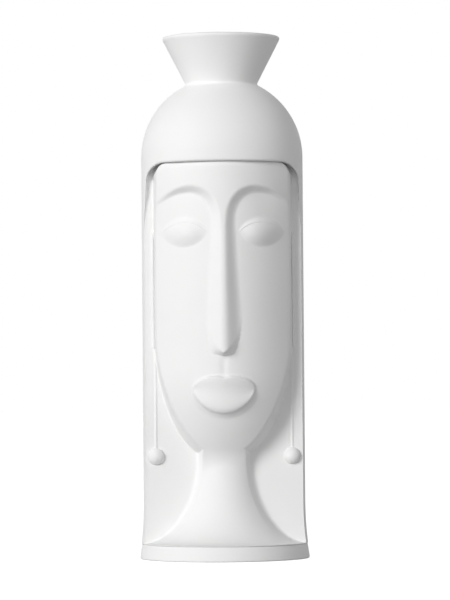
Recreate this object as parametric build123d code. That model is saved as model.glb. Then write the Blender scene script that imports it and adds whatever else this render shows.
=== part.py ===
from build123d import *
import math
import os

# Driving dimensions in millimetres.
# The vase stands on the origin with its face towards -Y.

# Clay
wall = 4.5                   # thickness of the cast walls

# Base slab
base_overhang = 2.5          # slab beyond the straight body
base_ledge = 1.0             # slab beyond the foot of the body
base_height = 9.0
base_edge_round = 1.0
foot_ring_width = 10.5
recess_depth = 1.5

# Body and niche
body_radius = 48.0
flare_height = 25.0          # the body widens to its foot over this height
niche_depth = 36.0           # front of the body back to the flat niche wall
hair_lip = 1.9               # width of the hair edge beside the niche, at the fringe
niche_spread = 3.4           # the niche is this much wider at its foot, each side
niche_corner_round = 10.0
fringe_band = 4.5            # from the fringe up to the seam with the dome

# Mouth
waist_radius = 21.4
rim_radius = 35.7            # edge of the cone before its lip is rounded
rim_softness = 0.4           # rounding of the lip, as a share of the wall
collar_height = 29.0

# Bust
bust_height = 51.0           # from the slab up to the chin
throat_radius = 24.0         # front of the throat, about the vase's axis
throat_half_width = 15.2     # its side walls, at the chin
bust_foot_thickness = 0.8

# Face, with depths measured from the niche wall
face_height = 173.5          # from the chin up to the fringe
channel_width = 4.9          # gap between the face and the hair edge
face_rise = 32.0
face_edge_rise = 9.0
face_corner_round = 8.0
face_draft = 8.0             # slope of the face's side wall, in degrees
jaw_height = 75.0            # the sides turn into the jaw this far above the chin
chin_setback = 19.2
chin_curve_height = 52.0

# Brows, with heights measured down from the fringe
forehead_height = 16.5       # fringe to the top of the brow arch
brow_relief = 3.2
brow_softness = 0.8          # rounding of the brow's edge, as a share of its relief
brow_span = 19.2             # top of the arch out to the edge of the face
brow_end_fall = 8.0          # arch to the brow's outer end
brow_bridge_fall = 15.0      # arch to the nose bridge

# Nose
bridge_half_width = 6.5
bridge_ridge_half_width = 2.2
nose_half_width = 7.8
nose_ridge_half_width = 3.0
nose_tip_rise = 6.4          # tip of the nose in front of the cheeks
nose_tip_height = 62.0       # tip above the chin
nose_underside_fall = 2.6
nose_round = 0.9

# Eyes
eye_offset = 2.3             # eye's middle outside the top of the arch
eye_fall = 24.4              # brow arch to the eye's middle
eye_half_width = 12.6
eye_half_height = 9.4
eye_relief = 4.5
lid_height = 4.0             # upper lid, from its fold to the top of the eye
lid_relief = 0.7

# Lips
mouth_height = 39.1          # parting of the lips above the chin
mouth_half_width = 18.2
mouth_corner_rise = 1.6
bow_peak_x = 3.4
bow_peak_rise = 9.7
bow_dip_rise = 8.3
lower_lip_fall = 12.5
lip_relief = 4.0
lip_softness = 0.5           # rounding of the lips, as a share of their relief

# Ears and drop earrings
ear_offset = 0.3             # ear beside the edge of the face
ear_thickness = 2.2
ear_rise = 4.4
ear_crown_height = 14.0      # curved top of the ear
ear_lobe_rise = 2.6
ear_length = 69.0
ear_top_fall = 23.0          # brow arch to the top of the ear
stem_radius = 0.85
stem_seat = 0.5              # flat pressed on the stem by the niche wall
stem_inset = 1.9             # stem axis inside the ear's outer face
earring_length = 64.2        # ear to the middle of the bead
bead_radius = 5.1
bead_seat = 1.8              # flat pressed on the bead by the niche wall

# Sizes that follow from the ones above
base_radius = body_radius + base_overhang
foot_radius = base_radius - base_ledge
inner_radius = body_radius - wall
bore_radius = waist_radius - wall
chin_height = base_height + bust_height
fringe_height = chin_height + face_height
seam_height = fringe_height + fringe_band
waist_height = seam_height + math.sqrt(body_radius**2 - waist_radius**2)
niche_reach = body_radius - niche_depth
niche_edge_x = math.sqrt(body_radius**2 - niche_reach**2)
niche_half_width = niche_edge_x - hair_lip
niche_foot_x = niche_half_width + niche_spread
bust_foot_radius = math.hypot(niche_foot_x, niche_reach)
face_half_width = niche_half_width - channel_width
jaw_line = chin_height + jaw_height
brow_peak_x = face_half_width - brow_span
brow_peak = fringe_height - forehead_height
brow_bridge = brow_peak - brow_bridge_fall
eye_x = brow_peak_x + eye_offset
eye_height = brow_peak - eye_fall
nose_tip = chin_height + nose_tip_height
mouth_line = chin_height + mouth_height
ear_top = brow_peak - ear_top_fall
ear_bottom = ear_top - ear_length
bead_height = ear_bottom - earring_length

# Front-view outlines are drawn on the XZ plane, whose normal points at the viewer.
clear = base_radius          # a length that reaches past the front of the vase
face_stations = 16


def front_prism(outline, back, front=clear):
    return extrude(Plane.XZ.offset(back) * outline, front - back)


def revolved(*edges):
    return revolve(Plane.XZ * make_face(edges), Axis.Z)


def make_base_slab():
    slab = Cylinder(base_radius, base_height, align=(Align.CENTER, Align.CENTER, Align.MIN))
    slab = fillet(slab.edges(), base_edge_round)
    recess = Cylinder(
        base_radius - foot_ring_width, recess_depth, align=(Align.CENTER, Align.CENTER, Align.MIN)
    )
    return slab - recess


def front_edges(piece):
    # The edges round the largest face that looks at the viewer.
    front = piece.faces().filter_by(lambda face: face.normal_at().Y < 0).sort_by(SortBy.AREA)[-1]
    return front.edges()


def jaw_height_at(x):
    return jaw_line - jaw_height * math.sqrt(1 - (x / face_half_width) ** 2)


def face_front(height):
    # The cheeks stand upright and the chin curves back below them.
    fall = max(0.0, chin_height + chin_curve_height - height) / chin_curve_height
    return niche_reach + face_rise - chin_setback * fall**2


def face_outline(inset, top):
    half_width = face_half_width - inset
    corner_x = half_width - face_corner_round
    corner_height = top - face_corner_round
    edges = [
        EllipticalCenterArc((0, jaw_line), half_width, jaw_height - inset, 180, arc_size=180),
        Line((half_width, jaw_line), (half_width, corner_height)),
        CenterArc((corner_x, corner_height), face_corner_round, 0, 90),
        Line((corner_x, top), (-corner_x, top)),
        CenterArc((-corner_x, corner_height), face_corner_round, 90, 90),
        Line((-half_width, corner_height), (-half_width, jaw_line)),
    ]
    return make_face(edges)


def face_block(back, inset):
    # The outline, with side walls that slope in towards the viewer as in a mould.
    slope = math.tan(math.radians(face_draft))
    edge_depth = niche_reach + face_edge_rise
    top = fringe_height - inset
    foot = Plane.XZ.offset(back) * face_outline(inset - slope * (edge_depth - back), top)
    front = Plane.XZ.offset(clear) * face_outline(inset + slope * (clear - edge_depth), top)
    return loft([foot, front], ruled=True)


def face_section(height, half_width, front):
    # A parabola across the face, drawn to the full width of the niche.
    fall = (face_rise - face_edge_rise) * (niche_edge_x / half_width) ** 2
    left = (-niche_edge_x, fall - front)
    right = (niche_edge_x, fall - front)
    back = fall + body_radius
    edges = [
        Bezier(left, (0, -fall - front), right),
        Line(right, (niche_edge_x, back)),
        Line((niche_edge_x, back), (-niche_edge_x, back)),
        Line((-niche_edge_x, back), left),
    ]
    return Pos(0, 0, height) * make_face(edges)


def face_form(back, inset=0.0, lift=0.0):
    # The face as a solid block. A wall's inset gives its hollow, and a lift the relief on it.
    lowest = chin_height - wall
    step = (fringe_height + wall - lowest) / (face_stations - 1)
    sections = []
    for station in range(face_stations):
        height = lowest + station * step
        front = face_front(height) - inset + lift
        sections.append(face_section(height, face_half_width - inset, front))
    return face_block(back, inset) & loft(sections)


def face_relief(outline, lift):
    # A layer of even thickness pressed onto the face.
    layer = face_form(niche_reach, lift=lift) - face_form(niche_reach)
    return layer & front_prism(outline, niche_reach)


def make_face_mask():
    return face_form(niche_reach) - face_form(niche_reach - wall, inset=wall)


def bust_sweep(foot, throat, inset):
    # A quarter ellipse from the upright throat out to the foot.
    drop = bust_height - bust_foot_thickness + inset
    return EllipticalCenterArc((foot, chin_height), foot - throat + inset, drop, 180, arc_size=90)


def bust_trumpet(inset):
    # The front of the bust, turned about the vase's axis.
    lowest = base_height + bust_foot_thickness - inset
    return revolved(
        bust_sweep(bust_foot_radius, throat_radius, inset),
        Line((throat_radius - inset, chin_height), (0, chin_height)),
        Line((0, chin_height), (0, lowest)),
        Line((0, lowest), (bust_foot_radius, lowest)),
    )


def bust_walls(inset):
    # The space between the side walls, which sweep out like the trumpet.
    lowest = base_height + bust_foot_thickness - inset
    throat = throat_half_width - inset
    right = make_face(
        [
            bust_sweep(niche_foot_x, throat_half_width, inset),
            Line((throat, chin_height), (throat, jaw_line)),
            Line((throat, jaw_line), (0, jaw_line)),
            Line((0, jaw_line), (0, 0)),
            Line((0, 0), (niche_foot_x, 0)),
            Line((niche_foot_x, 0), (niche_foot_x, lowest)),
        ]
    )
    return front_prism(right + mirror(right, Plane.YZ), niche_reach - wall)


def bust_hollow():
    slab = Cylinder(base_radius, base_height, align=(Align.CENTER, Align.CENTER, Align.MIN))
    return (bust_trumpet(wall) - slab) & bust_walls(wall)


def in_front_of_niche(solid):
    space = Box(4 * clear, clear, 2 * fringe_height, align=(Align.CENTER, Align.MAX, Align.MIN))
    return solid & Pos(0, -niche_reach, 0) * space


def make_bust():
    rise = jaw_height_at(throat_half_width) - chin_height
    throat = Cylinder(throat_radius, rise, align=(Align.CENTER, Align.CENTER, Align.MIN))
    foot = Cylinder(
        bust_foot_radius, bust_foot_thickness, align=(Align.CENTER, Align.CENTER, Align.MIN)
    )
    solid = (bust_trumpet(0) + Pos(0, 0, chin_height) * throat) & bust_walls(0)
    solid += Pos(0, 0, base_height) * foot
    return in_front_of_niche(solid - bust_hollow()) - face_form(niche_reach)


def niche_outline():
    outline = Polyline(
        (-niche_foot_x, base_height),
        (niche_foot_x, base_height),
        (niche_half_width, fringe_height),
        (-niche_half_width, fringe_height),
        close=True,
    )
    niche = make_face(outline)
    return fillet(niche.vertices().group_by(Axis.Y)[-1], niche_corner_round)


def body_cavity():
    # A round hollow with a flat front: the wall behind the niche, up to the shelf over it.
    rise = seam_height - base_height
    shelf_top = fringe_height + wall - base_height
    front_block = Box(2 * clear, clear, shelf_top, align=(Align.CENTER, Align.MAX, Align.MIN))
    tube = Cylinder(inner_radius, rise, align=(Align.CENTER, Align.CENTER, Align.MIN))
    return Pos(0, 0, base_height) * (tube - Pos(0, wall - niche_reach, 0) * front_block)


def make_body_shell():
    flare_top = base_height + flare_height
    body = revolved(
        Line((0, base_height), (foot_radius, base_height)),
        TangentArc((body_radius, flare_top), (foot_radius, base_height), tangent=(0, -1)),
        Line((body_radius, flare_top), (body_radius, seam_height)),
        Line((body_radius, seam_height), (0, seam_height)),
        Line((0, seam_height), (0, base_height)),
    )
    body -= front_prism(niche_outline(), niche_reach)
    body -= body_cavity()
    body -= face_form(niche_reach - wall, inset=wall)
    return body - bust_hollow()


def make_hair_dome():
    bore_top = seam_height + math.sqrt(inner_radius**2 - bore_radius**2)
    outer_angle = math.degrees(math.acos(waist_radius / body_radius))
    inner_angle = math.degrees(math.acos(bore_radius / inner_radius))
    return revolved(
        CenterArc((0, seam_height), body_radius, 0, outer_angle),
        Line((waist_radius, waist_height), (bore_radius, waist_height)),
        Line((bore_radius, waist_height), (bore_radius, bore_top)),
        CenterArc((0, seam_height), inner_radius, 0, inner_angle),
        Line((inner_radius, seam_height), (body_radius, seam_height)),
    )


def make_bun_collar():
    rim_height = waist_height + collar_height
    outline = Polyline(
        (bore_radius, waist_height),
        (waist_radius, waist_height),
        (rim_radius, rim_height),
        (rim_radius - wall, rim_height),
        close=True,
    )
    profile = make_face(outline)
    rim_corners = profile.vertices().group_by(Axis.Y)[-1]
    profile = fillet(rim_corners, rim_softness * wall)
    return revolve(Plane.XZ * profile, Axis.Z)


def make_brow_plate():
    # The forehead, cut away below by the two brow arches and narrowed to the nose bridge.
    end = (face_half_width, brow_peak - brow_end_fall)
    peak = (brow_peak_x, brow_peak)
    bridge = (bridge_half_width, brow_bridge)
    arch_width = brow_peak_x - bridge_half_width
    inner_arch = EllipticalCenterArc(
        (brow_peak_x, brow_bridge), arch_width, brow_bridge_fall, 90, arc_size=90
    )
    right = make_face(
        [
            TangentArc(peak, end, tangent=(1, 0)),
            inner_arch,
            Line(bridge, (0, brow_bridge)),
            Line((0, brow_bridge), (0, fringe_height)),
            Line((0, fringe_height), (face_half_width, fringe_height)),
            Line((face_half_width, fringe_height), end),
        ]
    )
    plate = face_relief(right + mirror(right, Plane.YZ), brow_relief)
    arches = front_edges(plate).filter_by(lambda edge: abs((edge @ 0.5).X) < face_half_width - wall)
    arches = arches.filter_by(lambda edge: (edge @ 0.5).Z < brow_peak)
    return fillet(arches, brow_softness * brow_relief)


def nose_section(height, half_width, ridge_half_width, front):
    back = -niche_reach
    outline = Polyline(
        (-half_width, back),
        (half_width, back),
        (half_width, -face_front(height)),
        (ridge_half_width, -front),
        (-ridge_half_width, -front),
        (-half_width, -face_front(height)),
        close=True,
    )
    return Pos(0, 0, height) * make_face(outline)


def make_nose():
    cheek = niche_reach + face_rise
    tip_front = cheek + nose_tip_rise
    underside = nose_tip - nose_underside_fall
    bridge = nose_section(brow_bridge, bridge_half_width, bridge_ridge_half_width, cheek + brow_relief)
    tip = nose_section(underside, nose_half_width, nose_ridge_half_width, tip_front)
    wedge = loft([bridge, tip], ruled=True)
    side_view = Polyline(
        (-cheek, underside),
        (-tip_front, nose_tip),
        (-tip_front, underside),
        close=True,
    )
    wedge -= extrude(Plane.YZ * make_face(side_view), nose_half_width, both=True)
    nose = wedge - face_form(niche_reach)
    ridge = nose.edges().filter_by(lambda edge: edge.length > nose_tip_height).sort_by(Axis.Y)[:2]
    return fillet(ridge, nose_round)


def eye_arc(rise):
    return ThreePointArc((-eye_half_width, 0), (0, rise), (eye_half_width, 0))


def eye_piece(upper_rise, lower_rise, relief):
    # An almond cut from a ball that stands proud of the cheek, on the right-hand side.
    curve = (face_rise - face_edge_rise) / face_half_width**2
    tilt = math.atan(2 * curve * eye_x)
    half_chord = eye_half_width / math.cos(tilt)
    ball_radius = (half_chord**2 + eye_relief**2) / (2 * eye_relief)
    sunk = ball_radius - eye_relief
    surface = niche_reach + face_rise - curve * eye_x**2
    ball_x = eye_x - sunk * math.sin(tilt)
    ball_y = sunk * math.cos(tilt) - surface
    ball = Pos(ball_x, ball_y, eye_height) * Sphere(ball_radius + relief)
    outline = Pos(eye_x, eye_height) * make_face([eye_arc(upper_rise), eye_arc(lower_rise)])
    return (ball & front_prism(outline, niche_reach)) - face_form(niche_reach)


def make_eye():
    return eye_piece(eye_half_height - lid_height, -eye_half_height, 0)


def make_eyelid():
    return eye_piece(eye_half_height, eye_half_height - lid_height, lid_relief)


def lip_corner(side):
    return (side * mouth_half_width, mouth_line + mouth_corner_rise)


def parting():
    return ThreePointArc(lip_corner(-1), (0, mouth_line), lip_corner(1))


def rounded_lip(outline):
    lip = face_relief(outline, lip_relief)
    return fillet(front_edges(lip), lip_softness * lip_relief)


def make_upper_lip():
    # Two full curves rise from the corners to the peaks of the bow.
    dip = (0, mouth_line + bow_dip_rise)
    left_peak = (-bow_peak_x, mouth_line + bow_peak_rise)
    right_peak = (bow_peak_x, mouth_line + bow_peak_rise)
    middle = mouth_line + mouth_corner_rise
    reach = mouth_half_width - bow_peak_x
    rise = bow_peak_rise - mouth_corner_rise
    outline = make_face(
        [
            parting(),
            EllipticalCenterArc((bow_peak_x, middle), reach, rise, 0, arc_size=90),
            Line(right_peak, dip),
            Line(dip, left_peak),
            EllipticalCenterArc((-bow_peak_x, middle), reach, rise, 90, arc_size=90),
        ]
    )
    return rounded_lip(outline)


def make_lower_lip():
    bottom = ThreePointArc(lip_corner(-1), (0, mouth_line - lower_lip_fall), lip_corner(1))
    return rounded_lip(make_face([parting(), bottom]))


def make_ear():
    crown = ear_top - ear_crown_height
    outline = make_face(
        [
            Line((-niche_reach, ear_top), (-niche_reach, ear_bottom)),
            Line((-niche_reach, ear_bottom), (-niche_reach - ear_lobe_rise, ear_bottom)),
            Line((-niche_reach - ear_lobe_rise, ear_bottom), (-niche_reach - ear_rise, crown)),
            EllipticalCenterArc((-niche_reach, crown), ear_rise, ear_crown_height, 90, arc_size=90),
        ]
    )
    ear = extrude(Plane.YZ.offset(face_half_width + ear_offset) * outline, ear_thickness)
    return ear - face_form(niche_reach)


def earring_x():
    return face_half_width + ear_offset + ear_thickness - stem_inset


def bead_ball():
    return Pos(earring_x(), bead_seat - bead_radius - niche_reach, bead_height) * Sphere(bead_radius)


def make_earring_stem():
    rod = Cylinder(stem_radius, earring_length, align=(Align.CENTER, Align.CENTER, Align.MIN))
    rod = Pos(earring_x(), stem_seat - stem_radius - niche_reach, bead_height) * rod
    return in_front_of_niche(rod) - bead_ball() - face_form(niche_reach)


def make_earring_bead():
    return in_front_of_niche(bead_ball())


os.makedirs("parts", exist_ok=True)

single_pieces = {
    "base_slab": make_base_slab,
    "body_shell": make_body_shell,
    "hair_dome": make_hair_dome,
    "bun_collar": make_bun_collar,
    "bust": make_bust,
    "face_mask": make_face_mask,
    "brow_plate": make_brow_plate,
    "nose": make_nose,
    "upper_lip": make_upper_lip,
    "lower_lip": make_lower_lip,
}
paired_pieces = {
    "eye": make_eye,
    "eyelid": make_eyelid,
    "ear": make_ear,
    "earring_stem": make_earring_stem,
    "earring_bead": make_earring_bead,
}

for name, make in single_pieces.items():
    export_step(make(), f"parts/{name}.step")

for name, make in paired_pieces.items():
    right = make()
    export_step(right, f"parts/{name}_right.step")
    export_step(mirror(right, Plane.YZ), f"parts/{name}_left.step")
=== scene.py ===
import bpy
import bmesh
import math
import numpy as np
from mathutils import Matrix, Vector
from mathutils.geometry import delaunay_2d_cdt


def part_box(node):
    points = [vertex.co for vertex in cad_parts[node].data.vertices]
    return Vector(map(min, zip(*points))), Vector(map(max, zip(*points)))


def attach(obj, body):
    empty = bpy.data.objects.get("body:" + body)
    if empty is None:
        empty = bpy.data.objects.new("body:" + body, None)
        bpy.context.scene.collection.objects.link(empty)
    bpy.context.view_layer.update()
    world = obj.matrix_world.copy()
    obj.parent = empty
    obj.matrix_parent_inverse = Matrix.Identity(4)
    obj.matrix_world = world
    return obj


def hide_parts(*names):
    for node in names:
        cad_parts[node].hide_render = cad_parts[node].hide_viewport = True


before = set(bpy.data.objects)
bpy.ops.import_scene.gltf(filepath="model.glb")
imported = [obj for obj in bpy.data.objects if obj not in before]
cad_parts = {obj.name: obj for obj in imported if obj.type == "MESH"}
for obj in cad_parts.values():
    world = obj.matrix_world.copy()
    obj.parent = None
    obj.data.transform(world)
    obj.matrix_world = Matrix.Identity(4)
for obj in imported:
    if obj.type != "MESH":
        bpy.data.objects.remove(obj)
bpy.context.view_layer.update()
print("frame loaded with", len(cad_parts), "nodes")

# Shapes are worked out in millimetres and become metres when a mesh is made.
# A point of the front view is (x, z). Depth is measured from the axis towards the viewer, along -Y.
mm = 0.001


def nodeBox(node):
    low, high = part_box(node)
    return np.array(low) / mm, np.array(high) / mm


slabHigh = nodeBox("base_slab")[1]
bodyHigh = nodeBox("body_shell")[1]
domeLow, domeHigh = nodeBox("hair_dome")
collarHigh = nodeBox("bun_collar")[1]
maskLow, maskHigh = nodeBox("face_mask")
bustHigh = nodeBox("bust")[1]

slabTop = slabHigh[2]
seamZ = domeLow[2]
waistZ = domeHigh[2]
rimZ = collarHigh[2]
bodyRadius = domeHigh[0]
footRadius = bodyHigh[0]
floorDepth = -maskHigh[1]     # the flat wall at the back of the niche
fringeZ = maskHigh[2]
wall = 4.5                    # thickness of the cast clay


# Small tools

def ease(value, start, stop):
    t = np.clip((value - start) / (stop - start), 0, 1)
    return t * t * (3 - 2 * t)


def ramp(value, start, stop, soft=0.3):      # a straight slope with soft ends
    u = np.clip((value - start) / (stop - start), 0, 1)
    bow = 2 * soft * (1 - soft)
    middle = (u - soft / 2) / (1 - soft)
    return np.where(u < soft, u * u / bow, np.where(u > 1 - soft, 1 - (1 - u) ** 2 / bow, middle))


def softMin(a, b, blend):
    return np.minimum(a, b) - np.clip(blend - np.abs(a - b), 0, None) ** 2 / (4 * blend)


def bend(start, corner, stop, t):      # a rounded corner
    return (1 - t) ** 2 * start + 2 * t * (1 - t) * corner + t * t * stop


def ellipseArc(centre, radii, start, stop, count):
    angles = np.radians(np.linspace(start, stop, count))
    return np.stack([centre[0] + radii[0] * np.cos(angles), centre[1] + radii[1] * np.sin(angles)], 1)


def arcThrough(left, middle, right, count):     # circle through three points of the front view
    (ax, az), (bx, bz), (cx, cz) = left, middle, right
    d = 2 * (ax * (bz - cz) + bx * (cz - az) + cx * (az - bz))
    a2, b2, c2 = ax * ax + az * az, bx * bx + bz * bz, cx * cx + cz * cz
    ux = (a2 * (bz - cz) + b2 * (cz - az) + c2 * (az - bz)) / d
    uz = (a2 * (cx - bx) + b2 * (ax - cx) + c2 * (bx - ax)) / d
    turn = np.unwrap([math.atan2(z - uz, x - ux) for x, z in (left, middle, right)])
    angles = np.linspace(turn[0], turn[2], count)
    radius = math.hypot(ax - ux, az - uz)
    return np.stack([ux + radius * np.cos(angles), uz + radius * np.sin(angles)], 1)


def curveThrough(points, steps=10):         # a smooth line through the points
    p = np.asarray(points, float)
    p = np.vstack([2 * p[0] - p[1], p, 2 * p[-1] - p[-2]])
    line = []
    for a, b, c, d in zip(p, p[1:], p[2:], p[3:]):
        for t in np.linspace(0, 1, steps, endpoint=False):
            line.append(b + t * (c - a + t * (2 * a - 5 * b + 4 * c - d + t * (3 * b - a - 3 * c + d))) / 2)
    return np.vstack([line, p[-2:-1]])


def nearestOn(x, z, line):     # distance to a line, positive on its left, and where along it
    start, step = line[:-1, :2], np.diff(line[:, :2], axis=0)
    px, pz = x[:, None] - start[:, 0], z[:, None] - start[:, 1]
    t = np.clip((px * step[:, 0] + pz * step[:, 1]) / (step ** 2).sum(axis=1), 0, 1)
    gap = np.hypot(px - t * step[:, 0], pz - t * step[:, 1])
    k = np.argmin(gap, axis=1)
    row = np.arange(len(x))
    side = np.sign(step[k, 0] * pz[row, k] - step[k, 1] * px[row, k])
    return side * gap[row, k], k + t[row, k]


def evenly(points, spacing, closed=False):      # the same line with points at even steps
    points = np.asarray(points, float)
    if closed:
        points = np.vstack([points, points[:1]])
    lengths = np.hypot(*np.diff(points, axis=0).T)
    along = np.concatenate([[0], np.cumsum(lengths)])
    count = max(2, int(round(along[-1] / spacing)))
    steps = np.linspace(0, along[-1], count + 1)
    line = np.stack([np.interp(steps, along, points[:, i]) for i in range(2)], 1)
    return line[:-1] if closed else line


def roundCorners(corners, steps=8):     # corners are (r, z, rounding)
    line = []
    for i, (r, z, rounding) in enumerate(corners):
        here = np.array([r, z])
        if rounding == 0:
            line.append(here)
            continue
        before = np.array(corners[i - 1][:2])
        after = np.array(corners[(i + 1) % len(corners)][:2])
        toBefore = (before - here) / np.linalg.norm(before - here)
        toAfter = (after - here) / np.linalg.norm(after - here)
        half = math.acos(np.clip(toBefore @ toAfter, -1, 1)) / 2
        reach = rounding / math.tan(half)
        for t in np.linspace(0, 1, steps):
            line.append(bend(here + reach * toBefore, here, here + reach * toAfter, t))
    return np.array(line)


def inSpace(flat, depth):      # points of the front view at a depth
    return np.stack([flat[:, 0], -depth, flat[:, 1]], 1)


def rightOf(line):             # directions to the right of a line
    along = np.gradient(line, axis=0)
    return np.stack([along[:, 1], -along[:, 0]], 1) / np.linalg.norm(along, axis=1, keepdims=True)


def stitch(a, b):              # faces between two closed rows of point numbers
    count = len(a)
    return [[a[k], b[k], b[k + 1 - count], a[k + 1 - count]] for k in range(count)]


# Pieces

def addObject(name, data):
    thing = bpy.data.objects.new(name, data)
    bpy.context.collection.objects.link(thing)
    return thing


def addPiece(node, points, faces, skinNormals=None, skinFaces=0, sharp=40):
    mesh = bpy.data.meshes.new(node + "_fired")
    mesh.from_pydata([tuple(p) for p in np.asarray(points) * mm], [], [tuple(map(int, f)) for f in faces])
    work = bmesh.new()
    work.from_mesh(mesh)
    bmesh.ops.recalc_face_normals(work, faces=work.faces)
    openEdges = sum(len(edge.link_faces) != 2 for edge in work.edges)
    work.to_mesh(mesh)
    work.free()
    mesh.shade_smooth()
    mesh.set_sharp_from_angle(angle=math.radians(sharp))
    if skinNormals is not None:
        loopNormals = np.zeros((len(mesh.loops), 3))
        for face in mesh.polygons:
            for loop in face.loop_indices:
                corner = mesh.loops[loop].vertex_index
                loopNormals[loop] = skinNormals[corner] if face.index < skinFaces else face.normal
        mesh.normals_split_custom_set([tuple(n) for n in loopNormals])
    piece = addObject(node + "_fired", mesh)
    mesh.materials.append(bisque)
    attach(piece, "root")
    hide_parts(node)
    print("piece", node, len(mesh.polygons), "faces,", openEdges, "open edges")
    return piece


def spin(profile, steps=144):     # a closed (r, z) profile turned about the axis
    profile = np.asarray(profile)
    angles = np.linspace(0, 2 * math.pi, steps, endpoint=False)
    points = []
    rings = []
    for r, z in profile:
        if r < 1e-6:
            rings.append([len(points)] * steps)
            points.append((0, 0, z))
            continue
        rings.append(list(range(len(points), len(points) + steps)))
        points += [(r * math.sin(a), -r * math.cos(a), z) for a in angles]
    faces = []
    for a, b in zip(rings, rings[1:] + rings[:1]):
        if a[0] != a[1] or b[0] != b[1]:
            faces += [list(dict.fromkeys(face)) for face in stitch(a, b)]
    return points, faces


def loftRings(rings):      # closed rings of equal count, with flat ends
    count = len(rings[0])
    rows = np.arange(len(rings) * count).reshape(-1, count)
    faces = [face for a, b in zip(rows, rows[1:]) for face in stitch(a, b)]
    return np.vstack(rings), faces + [rows[0], rows[-1]]


# Shader nodes

def setInputs(node, values):
    for name, value in values.items():
        node.inputs[name].default_value = value


def addNode(tree, kind, values=None):
    node = tree.nodes.new("ShaderNode" + kind)
    setInputs(node, values or {})
    return node


def join(tree, *wires):        # each wire is a node, its output, the next node and its input
    for source, output, target, entry in wires:
        tree.links.new(source.outputs[output], target.inputs[entry])


# Bisque, the matt unglazed clay

bisqueLook = {
    "colour": (0.86, 0.86, 0.858),
    "shade": (0.83, 0.83, 0.826),
    "roughness": (0.62, 0.78),
    "cloudSize": 0.03,         # metres
    "cloudDetail": 4,
    "specular": 0.35,
    "grainSize": 0.0006,
    "grainDetail": 3,
    "grainHeight": 0.00001,
    "grainStrength": 0.25,
    "pitSize": 0.004,
    "pitEdge": (0.03, 0.09),   # a pit's bottom and rim, as shares of its cell
    "pitHeight": 0.00003,
    "pitStrength": 0.3,
}


def makeBisque():
    look = bisqueLook
    material = bpy.data.materials.new("bisque_matt")
    material.use_nodes = True
    tree = material.node_tree
    shader = tree.nodes["Principled BSDF"]
    setInputs(shader, {"Specular IOR Level": look["specular"]})
    place = addNode(tree, "TexCoord")
    cloud = addNode(tree, "TexNoise", {"Scale": 1 / look["cloudSize"], "Detail": look["cloudDetail"]})
    tint = addNode(tree, "Mix")
    tint.data_type = "RGBA"
    setInputs(tint, {"A": (*look["shade"], 1), "B": (*look["colour"], 1)})
    grain = addNode(tree, "TexNoise", {"Scale": 1 / look["grainSize"], "Detail": look["grainDetail"]})
    dull = addNode(tree, "MapRange", {"To Min": look["roughness"][0], "To Max": look["roughness"][1]})
    pits = addNode(tree, "TexVoronoi", {"Scale": 1 / look["pitSize"]})
    sparse = addNode(tree, "MapRange", {"From Min": look["pitEdge"][0], "From Max": look["pitEdge"][1]})
    fineBump = addNode(tree, "Bump", {"Strength": look["grainStrength"], "Distance": look["grainHeight"]})
    pitBump = addNode(tree, "Bump", {"Strength": look["pitStrength"], "Distance": look["pitHeight"]})
    join(tree,
         *[(place, "Object", texture, "Vector") for texture in (cloud, grain, pits)],
         (cloud, "Fac", tint, "Factor"), (tint, "Result", shader, "Base Color"),
         (grain, "Fac", dull, "Value"), (dull, "Result", shader, "Roughness"),
         (grain, "Fac", fineBump, "Height"), (fineBump, "Normal", pitBump, "Normal"),
         (pits, "Distance", sparse, "Value"), (sparse, "Result", pitBump, "Height"),
         (pitBump, "Normal", shader, "Normal"))
    return material


bisque = makeBisque()
print("bisque mixed")


# Base slab: a low foot with a shallow recess underneath

slab = {
    "flare": 1.4,              # wider at the floor than at the top
    "edgeRound": 1.3,
    "footRound": 1.0,
    "ringWidth": 10.5,
    "recess": 1.5,
    "recessRound": (0.6, 0.5),     # inside the recess and at its edge
}


def buildSlab():
    low = slabHigh[0]
    ring = low - slab["ringWidth"]
    inRound, outRound = slab["recessRound"]
    profile = roundCorners([
        (0, slab["recess"], 0),
        (ring, slab["recess"], inRound),
        (ring, 0, outRound),
        (low, 0, slab["footRound"]),
        (low - slab["flare"], slabTop, slab["edgeRound"]),
        (0, slabTop, 0),
    ])
    addPiece("base_slab", *spin(profile))


buildSlab()


# Hair dome and bun collar, with one hollow curve at the waist between them

bun = {
    "waistCorner": 20.9,       # radius where dome and cone would meet without the hollow curve
    "waistRound": 1.8,
    "waistClear": 2.16,        # the dome's points stop this far from that corner
    "rimRound": 1.8,
    "rimWorn": 1.1,            # the edge of the cone before its lip is rounded stands out this far
    "bore": 16.9,
    "boreEdge": 0.4,           # the bore ends this far above the hollow of the dome
    "domeSteps": 40,
}


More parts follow.
